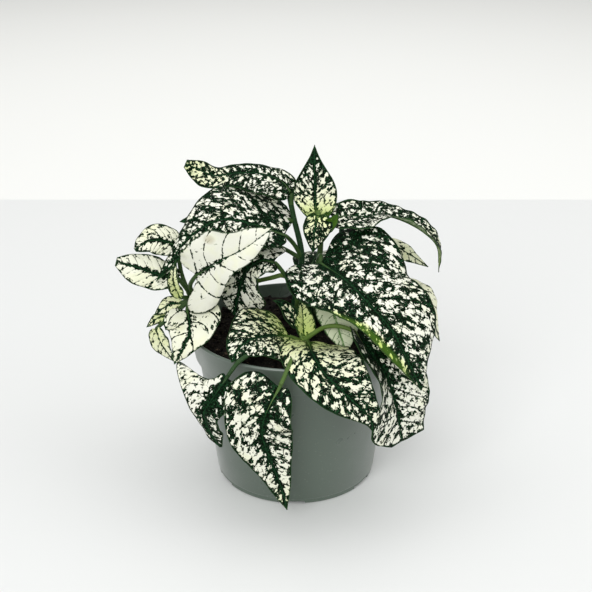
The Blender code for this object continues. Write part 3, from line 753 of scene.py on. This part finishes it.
def buildShoot(shoot):
    buildStem(shoot)
    for leaf in shoot["leaves"]:
        buildBlade(leaf, shoot["name"])
    print(shoot["name"], "built with", len(shoot["leaves"]), "leaves")


# The leafy stems. A leaf has its stalk, the points of its rib from foot to tip, the way its upper face looks
# from foot to tip, its left and right halves, and its dress. A half has its width at even steps from foot to
# tip, its lift at the rib, its bend out to the edge and the curl of the edge in degrees, and how far its foot
# reaches back past the stalk. In the dress, white is the share of splashes, size the fineness of the
# blotches, rib the half width of the dark band on the rib, veins and gap the depth and spacing of the side
# veins, youth the share of yellow-green and tone the paleness of the stalk. A list runs from foot to tip, and
# a pair of lists is the left half and the right. hem is a young green edge on one half, and scorch a tan
# patch: its share of the length, its millimetres from the rib and its radius. turned shows the underside.

outline = (0.42, 0.9, 1.0, 0.88, 0.65, 0.35, 0.0)


def plain(width, lift=5, bend=-30):  # half of a plain heart-shaped blade
    return dict(width=[width * share for share in outline], lift=lift, bend=bend, back=0.3 * width)


def alike(width, lift=5, bend=-30):  # both halves the same
    return dict(left=plain(width, lift, bend), right=plain(width, lift, bend))


tallShoot = dict(
    name="tall_shoot", tone=[0, 0, 0.1, 0.4],
    stem=[(5, -2, 60), (6, -1, 85), (11, 0, 110), (12, 1, 126), (10.5, 1, 137)],
    leaves=[
        dict(name="top_leaf",
             dress=dict(white=[0.78, 0.7, 0.55, 0.46, 0.25, -0.3], size=1.4, rib=[0.9, 0.8, 0.5],
                        youth=[0.9, 0.45, 0.1, 0, 0], tone=0.5),
             stalk=[(11, 1, 128)], rib=[(10, 1, 132), (9, 6, 150), (9, 12, 166)],
             face=[(-0.1, -1, 0.3), (0, -1, 0.4)],
             left=dict(width=[2, 7.5, 10.5, 9.5, 6, 2.5, 0], lift=8, bend=-10, back=1),
             right=dict(width=[4, 9, 10.5, 9.5, 6, 2.5, 0], lift=8, bend=-10, back=1)),
        dict(name="leaf_below_top",
             dress=dict(white=0.5, size=1.4, rib=[0.6, 0.4], youth=[0.6, 0.35, 0.2], tone=0.5),
             stalk=[(11, 1, 132)], rib=[(10.5, -3, 136), (9, -7.5, 130), (8, -10, 120)],
             face=[(0, -0.6, 0.8), (0, -0.9, 0.3)], left=plain(8, 0, -20), right=plain(6, 0, -20)),
        dict(name="young_leaf",
             dress=dict(white=0.1, size=1.5, rib=[0.5, 0.3], youth=[1, 1, 0.9], tone=0.8),
             stalk=[(12, 1, 127)], rib=[(13, -3, 129), (17, -5, 133), (20, -6, 138)],
             face=[(0, -1, 0.4), (0, -1, 0.4)], **alike(3.5, 20, 0)),
        dict(name="right_arching_leaf",
             dress=dict(white=[0.48, 0.5, 0.46, 0.44], size=1.55, rib=[0.6, 0.4],
                        youth=[0.1, 0, 0, 0.2, 0.6]),
             stalk=[(12, 1, 125), (15, 1, 129)],
             rib=[(18, 1, 133), (25, 3, 134), (33, 4, 133), (42, 5, 134), (52, 5, 131), (62, 5, 125),
                  (69, 5, 117), (70, 5, 104)],
             face=[(0, -0.7, 0.8), (0, -0.4, 1), (0, -0.1, 1), (0.4, -0.1, 1), (1, -0.2, 0.3)],
             left=dict(width=[5, 8, 8, 8, 8, 7, 0], lift=20, bend=0, back=4),
             right=dict(width=[6, 11, 10, 8, 8, 6, 0], lift=[10, 25, 30], bend=0, back=5)),
        dict(name="large_right_leaf",
             dress=dict(white=([0.28, 0.5, 0.54, 0.52, 0.5], [0.5, 0.5, 0.5, 0.5, 0.5]), size=0.85,
                        rib=[2.0, 1.9, 1.6, 1.2, 0.8], veins=0.1,
                        hem=dict(side=1, reach=(0.3, 1.0), wide=7.0, white=0.34, youth=1.2)),
             stalk=[(11, 0, 113), (12, -6, 117)],
             rib=[(12, -11, 115), (23, -27, 113), (32, -38, 107), (43, -45, 96), (51, -50, 82),
                  (57, -52, 69)],
             face=[(0.2, -0.62, 0.75), (0.45, -0.7, 0.4)],
             left=dict(width=[20, 31, 31, 28, 25, 18, 0], lift=[33, 18, 8, 5, 5, 5], bend=-22, back=12),
             right=dict(width=[12, 22, 21, 15, 12, 7, 0], lift=0, bend=[-30, -25, -20, 0, 0],
                        curl=[0, 0, 60, 110, 60], back=16)),
    ])

upperLeftShoot = dict(
    name="upper_left_shoot", tone=[0, 0, 0.04],
    stem=[(-3, 9, 60), (0, 9, 90), (3, 5, 112), (-1, 7, 132), (-3, 8, 142)],
    leaves=[
        dict(name="left_arching_leaf",
             dress=dict(white=[0.46, 0.5, 0.46, 0.5, 0.62], size=1.35, youth=[0, 0, 0, 0.3, 0.5],
                        rib=[0.8, 0.6, 0.4]),
             stalk=[(-2, 7, 138)],
             rib=[(-2, 7.5, 143.5), (-7, 10, 149), (-17, 12, 152), (-28, 13, 152), (-38, 12, 151),
                  (-47, 10, 155), (-52, 8, 158)],
             face=[(0, -0.5, 0.9), (0, -0.6, 0.8), (0, -0.7, 0.7), (-0.1, -0.9, 0.4)],
             left=dict(width=[6, 12, 11.5, 9, 7, 7, 2], lift=5, bend=-15, back=3),
             right=dict(width=[4, 7, 6, 5, 5, 5, 2], lift=5, bend=-25, back=2)),
        dict(name="large_left_leaf",
             dress=dict(white=[0.38, 0.44, 0.45, 0.46, 0.46], size=1.25, rib=[0.9, 0.8, 0.7, 0.5],
                        veins=0.08),
             stalk=[(3, 5, 112), (-1, 2, 120)],
             rib=[(-5, -3, 126), (-20, -7, 133), (-36, -10, 136), (-50, -13, 128), (-59, -13, 116),
                  (-66, -12, 106)],
             face=[(0, -0.5, 0.85), (-0.6, -0.6, 0.5)],
             left=dict(width=[5, 11, 12, 8, 4, 3, 0], lift=0, bend=-50, back=3),
             right=dict(width=[12, 25, 26, 15, 8, 4, 0], lift=5, bend=-25, back=7)),
        dict(name="small_back_left_leaf",
             dress=dict(white=0.1, size=1.4, rib=[0.6, 0.3]),
             stalk=[(-1, 6, 130), (-20, 8, 133), (-40, 9, 131)],
             rib=[(-46, 9, 130), (-51, 8, 130), (-56, 8, 129)],
             face=[(0, -0.4, 1), (0, -0.6, 1)], **alike(3, 5, 0)),
        dict(name="back_centre_leaf",
             dress=dict(white=0.45), stalk=[(2, 7, 99)],
             rib=[(7, 14, 103), (11, 28, 105), (13, 44, 99), (14, 56, 86)],
             face=[(0, 0.2, 1), (0, 0.9, 0.4)], **alike(12, 10, -35)),
        dict(name="back_left_leaf",
             dress=dict(white=0.45), stalk=[(3, 5, 111), (-5, 10, 114)],
             rib=[(-14, 16, 116), (-28, 30, 118), (-42, 42, 108), (-50, 50, 92)],
             face=[(-0.2, 0.2, 1), (-0.6, 0.6, 0.5)], **alike(16, 10, -35)),
    ])

leftShoot = dict(
    name="left_shoot", tone=[0.1, 0.1, 0.5, 0.5, 0.2, 0.2], slim=0.75,
    stem=[(-3, 3, 60), (0, 3.5, 80), (0.5, 3.5, 94), (-5, 0, 104), (-12, 0, 103), (-21, 3, 99.5),
          (-34, 3, 95.5), (-46, -3, 95), (-52, -6, 95)],
    leaves=[
        dict(name="white_leaf",
             dress=dict(white=[0.95, 1.0, 1.05, 1.1, 1.1], rib=[0.8, 1.8, 1.5, 0.45, 0.35, 0.3, 0.25],
                        veins=0.36, gap=9.5, scorch=(0.45, -11.3, 2.5)),
             stalk=[(-49, -6, 96), (-50, -12, 104)],
             rib=[(-46, -20, 112.5), (-33, -30, 124), (-22, -33, 131), (-10, -32, 140)],
             face=[(-0.2, -1, 0.25), (0, -1, 0.2)],
             left=dict(width=[10, 14, 15, 15, 10, 6, 0], lift=22, bend=-5, back=4),
             right=dict(width=[11, 18, 12.5, 8, 7, 4, 0], lift=6, bend=-30, back=24)),
        dict(name="left_leaf_upper",
             dress=dict(white=0.76, size=1.2, rib=[1.2, 1.0, 0.5], veins=0.2, youth=0.15),
             stalk=[(-51, -6, 96), (-55, -4, 108)],
             rib=[(-56, -4, 121), (-63, -5, 124), (-70, -6, 124), (-76, -7, 120)],
             face=[(-0.1, -0.8, 0.6), (-0.6, -0.7, 0.3)],
             left=dict(width=[3, 6, 7, 7, 6, 4, 1], back=2), right=dict(width=[3, 7, 8, 8, 7, 5, 1], back=2)),
        dict(name="left_leaf_lower",
             dress=dict(white=[0.6, 0.85, 0.9], size=1.2, rib=[1.5, 1.2, 0.5], veins=0.2, youth=0.1),
             stalk=[(-50, -6, 96)],
             rib=[(-56, -8, 106), (-67, -9, 109), (-78, -9, 113), (-85, -9, 115)],
             face=[(0, -0.8, 0.6), (-0.2, -0.9, 0.5)],
             left=dict(width=[3, 6, 8, 8, 8, 6, 2], bend=-20, back=2),
             right=dict(width=[3, 6, 8, 8, 7, 5, 2], bend=-20, back=2)),
        dict(name="folded_young_leaf",
             dress=dict(white=0.8, size=1.3, rib=[0.5, 0.3], youth=[0.7, 0.5, 0.3]), stalk=[(-51, -6, 95)],
             rib=[(-55, -14, 99), (-57, -20, 110), (-55, -22, 121)],
             face=[(0, -1, 0.2), (0, -1, 0.2)], **alike(3.5, 30, 0)),
        dict(name="cream_leaf",
             dress=dict(white=[0.78, 0.84, 0.88, 0.9], size=1.1, rib=[1.6, 1.3, 0.9, 0.4], veins=0.36,
                        youth=0.12, gap=8.5),
             stalk=[(-51, -6, 95)],
             rib=[(-52, -12, 91), (-50, -22, 88.5), (-50, -28, 85.5), (-53, -31, 79), (-57, -31.5, 72)],
             face=[(0, -0.7, 0.7), (-0.3, -0.9, 0.3)],
             left=dict(width=[6, 14, 15.5, 12, 6.5, 3, 0], bend=[-25, -15, -8, -8, -15], back=7),
             right=dict(width=[6, 12, 12, 10.5, 8, 4.5, 0], bend=[-25, -12, -6, -6, -12], back=6)),
        dict(name="young_leaf_left_1",
             dress=dict(white=0.75, size=1.3, rib=[0.5, 0.3], youth=[0.5, 0.35, 0.2]),
             stalk=[(-50, -6, 95)], rib=[(-56, -3, 91), (-62, -3, 90), (-69, -4, 85)],
             face=[(0, -0.6, 0.8), (-0.3, -0.8, 0.4)], **alike(4.5, 5, -20)),
        dict(name="young_leaf_left_2",
             dress=dict(white=0.7, size=1.4, rib=[0.5, 0.3], youth=[0.7, 0.5, 0.4]),
             stalk=[(-50, -6, 95), (-58, -4, 87)],
             rib=[(-63, -4, 85), (-68, -4, 83), (-73, -5, 79)],
             face=[(0, -0.6, 0.8), (-0.3, -0.8, 0.4)], **alike(3, 5, -20)),
        dict(name="young_leaf_left_3",
             dress=dict(white=0.8, size=1.3, rib=[0.5, 0.3], youth=[0.5, 0.35, 0.2]),
             stalk=[(-51, -6, 94), (-62, -5, 84)],
             rib=[(-68, -7, 79), (-66, -8, 72), (-60, -10, 63)],
             face=[(-0.3, -0.8, 0.4), (-0.3, -0.9, 0.2)], **alike(5, 15, -10)),
        dict(name="back_low_left_leaf",
             dress=dict(white=0.45), stalk=[(-33, 3, 96), (-34, 5, 99)],
             rib=[(-35, 9, 101), (-38, 22, 100), (-40, 36, 91), (-38, 48, 76)],
             face=[(-0.2, 0.2, 1), (0, 0.9, 0.4)], **alike(12, 10, -35)),
    ])

middleShoot = dict(
    name="middle_shoot", tone=[0, 0.1],
    stem=[(11, 9, 60), (9, 7, 80), (3, 1, 92), (-3, -7, 104)],
    leaves=[
        dict(name="shaded_hanging_leaf",
             dress=dict(white=0.68, rib=[2.0, 1.6, 1.0], veins=0.2, gap=6),
             stalk=[(-3, -7, 104), (-7, -9, 111)],
             rib=[(-10, -10, 115), (-16, -11, 116), (-22, -12, 113), (-26, -10, 104.5), (-28, -8, 95),
                  (-30, -6, 86)],
             face=[(-0.1, -0.4, 0.9), (-0.1, -0.9, 0.3)],
             left=dict(width=[5, 8, 8, 10, 14, 12, 0], lift=5, bend=-20, back=3),
             right=dict(width=[11, 11, 10, 11, 12, 9, 0], lift=5, bend=-30, back=10)),
        dict(name="back_low_centre_leaf",
             dress=dict(white=0.45), stalk=[(9, 5, 82)],
             rib=[(10, 16, 90), (11, 36, 92), (12, 52, 84), (12, 62, 66)],
             face=[(0, 0.2, 1), (0, 0.9, 0.4)], **alike(15, 10, -35)),
    ])

frontShoot = dict(
    name="front_shoot", tone=[0.2, 0.6, 1.0],
    stem=[(3, -16, 60), (4, -19, 72), (4, -20, 80)],
    leaves=[
        dict(name="front_left_leaf",
             dress=dict(white=[0.6, 0.52, 0.5, 0.5], size=1.15, rib=[1.2, 1.2, 0.9, 0.5],
                        youth=[0.8, 0.42, 0.14, 0.05], veins=0.08, tone=0.55),
             stalk=[(4, -20, 78)],
             rib=[(-3, -22, 82), (-12, -30, 86), (-20, -37, 87.5), (-26, -42, 85), (-29, -46, 80)],
             face=[(0, -0.3, 0.95), (-0.5, -0.6, 0.7)], wave=0.04,
             left=dict(width=[12, 20, 20, 17, 12, 7, 0], lift=0, bend=-22, back=2),
             right=dict(width=[12, 20, 21, 18, 13, 7, 0], lift=12, bend=-10, back=3)),
        dict(name="front_right_leaf",
             dress=dict(white=[0.7, 0.6, 0.52, 0.52, 0.55], rib=[1.4, 1.3, 1.0, 0.6],
                        youth=[0.75, 0.35, 0.16, 0.1], tone=0.4),
             stalk=[(4, -20, 78)],
             rib=[(6, -26, 81), (8, -46, 84), (13, -57, 80), (23, -63, 72), (33, -63, 61), (35, -60, 52)],
             face=[(0.1, -0.3, 0.95), (0.1, -0.9, 0.4)],
             left=dict(width=[8, 16, 20, 19, 14, 8, 0], bend=-15, back=2),
             right=dict(width=[7, 14, 15, 13.5, 10, 5, 0], bend=-15, back=2)),
        dict(name="right_hanging_leaf",
             dress=dict(white=[0.34, 0.44, 0.54, 0.58, 0.62], size=0.95, rib=[2.6, 2.2, 1.2, 0.6], veins=0.18,
                        tone=0.6),
             stalk=[(4, -20, 79), (13, -23, 87), (21, -26, 89)],
             rib=[(28, -28, 87), (32, -38, 84.5), (41, -44, 73), (47, -46, 55), (50, -43, 37)],
             face=[(0.3, -0.4, 0.8), (0.3, -0.75, 0.4)],
             left=dict(width=[12, 19, 21, 20, 18, 17, 13], lift=12, bend=-10, back=5),
             right=dict(width=[5, 8, 10, 13, 17, 17, 6], lift=[35, 35, 25, 10], bend=0, back=3)),
        dict(name="lower_left_leaf",
             dress=dict(white=([0.44, 0.44, 0.46, 0.5], [0.74, 0.66, 0.54, 0.5]), rib=[2.4, 2.6, 1.6, 0.6],
                        tone=0.08),
             stalk=[(3, -20, 77), (-12, -36, 83), (-24, -47, 82.5)],
             rib=[(-31, -53, 76), (-36.5, -55, 68), (-41.5, -55, 59), (-39.5, -54, 49), (-35, -53, 40)],
             face=[(-0.3, -0.7, 0.6), (-0.6, -0.7, 0.1)],
             left=dict(width=[8, 9, 9, 8, 7, 6, 1.5], bend=-20, back=2),
             right=dict(width=[3, 7, 27, 9, 4, 3, 0], bend=-15, back=2)),
        dict(name="front_hanging_leaf",
             dress=dict(white=[0.4, 0.5, 0.58, 0.62, 0.65, 0.7], size=0.85, rib=[1.8, 1.7, 1.3, 0.6],
                        youth=[0.08, 0.08, 0.06, 0.05, 0.15, 0.6], tone=0.35),
             stalk=[(4, -20, 77), (0, -40, 82.5), (-3, -54, 82)],
             rib=[(-7, -62, 76), (-13, -66, 65), (-15, -64, 53), (-12, -62, 40), (-7, -60, 24), (-4, -58, 9)],
             face=[(-0.05, -0.8, 0.5), (0, -1, 0.1)], wave=0.05,
             left=dict(width=[5, 11, 14, 12.5, 8, 4, 0], bend=-20, back=3),
             right=dict(width=[14, 20, 17, 12, 8, 5, 0], bend=-15, back=4)),
        dict(name="striped_young_leaf",
             dress=dict(white=0.82, size=1.4, rib=[0.4, 0.3], youth=[0.9, 0.7, 0.5], tone=0.8),
             stalk=[(4, -19, 77)], rib=[(4, -17, 80), (3.5, -14, 88), (2.5, -12, 97)],
             face=[(0.2, -1, 0.4), (0.2, -1, 0.4)], left=plain(4.5, 20, 0), right=plain(6, 20, 0)),
        dict(name="shaded_young_leaf",
             dress=dict(white=0.42, size=1.5, rib=[0.5, 0.3], youth=[0.45, 0.35, 0.3], tone=0.6),
             stalk=[(4, -19, 77)],
             rib=[(1, -15, 84), (-3, -12, 90), (-7, -10, 94), (-11, -9, 95)],
             face=[(0.3, -0.8, 0.6), (0.3, -0.8, 0.6)], **alike(4, 10, 0)),
    ])

rightShoot = dict(
    name="right_shoot", tone=[0, 0, 0.2],
    stem=[(15, 3, 60), (18, 3, 80), (22, 3, 98), (26, 5, 112)],
    leaves=[
        dict(name="pale_underside_leaf",
             dress=dict(white=0.95, rib=[0.6, 0.4], veins=0.3, turned=True), stalk=[(21, 3, 95)],
             rib=[(18, -5, 97), (19, -17, 89), (24, -29, 76)],
             face=[(0, -0.7, 0.7), (0, -0.6, 0.7)], left=plain(15, 5, -10), right=plain(9, 5, -10)),
        dict(name="right_edge_leaf",
             dress=dict(white=0.9, size=1.1, rib=[0.8, 0.5], veins=0.2, youth=0.25), stalk=[(22, 3, 97)],
             rib=[(30, 3, 101), (48, 1, 101), (64, -2, 92), (71, -4, 71)],
             face=[(0.1, -0.2, 1), (0.8, -0.4, 0.5)],
             left=dict(width=[5, 11, 12, 11, 10, 7, 0], bend=-30, back=4),
             right=dict(width=[5, 11, 12, 11, 10, 7, 0], bend=-30, back=4)),
        dict(name="small_right_leaf",
             dress=dict(white=0.85, size=1.2, rib=[0.6, 0.3], veins=0.15, youth=0.3), stalk=[(25, 5, 110)],
             rib=[(34, 8, 116), (46, 9, 117), (56, 8, 112), (65, 7, 106)],
             face=[(0, -0.3, 1), (0.3, -0.6, 0.8)], **alike(7)),
        dict(name="back_right_leaf",
             dress=dict(white=0.45), stalk=[(20, 3, 88)],
             rib=[(26, 12, 93), (40, 26, 96), (52, 37, 85), (58, 44, 68)],
             face=[(0.2, 0.2, 1), (0.6, 0.6, 0.5)], **alike(16, 10, -35)),
        dict(name="back_right_high_leaf",
             dress=dict(white=0.5), stalk=[(26, 5, 111)],
             rib=[(30, 18, 114), (34, 28, 116), (39, 40, 109), (43, 50, 96)],
             face=[(0.2, 0.2, 1), (0.6, 0.6, 0.5)], **alike(12, 10, -35)),
        dict(name="right_side_leaf",
             dress=dict(white=0.5), stalk=[(21, 3, 92)],
             rib=[(30, 10, 97), (42, 18, 98), (54, 24, 90), (60, 28, 76)],
             face=[(0.2, 0, 1), (0.8, 0.3, 0.5)], **alike(13, 10, -35)),
    ])

shoots = [tallShoot, upperLeftShoot, leftShoot, middleShoot, frontShoot, rightShoot]


for shoot in shoots:
    buildShoot(shoot)
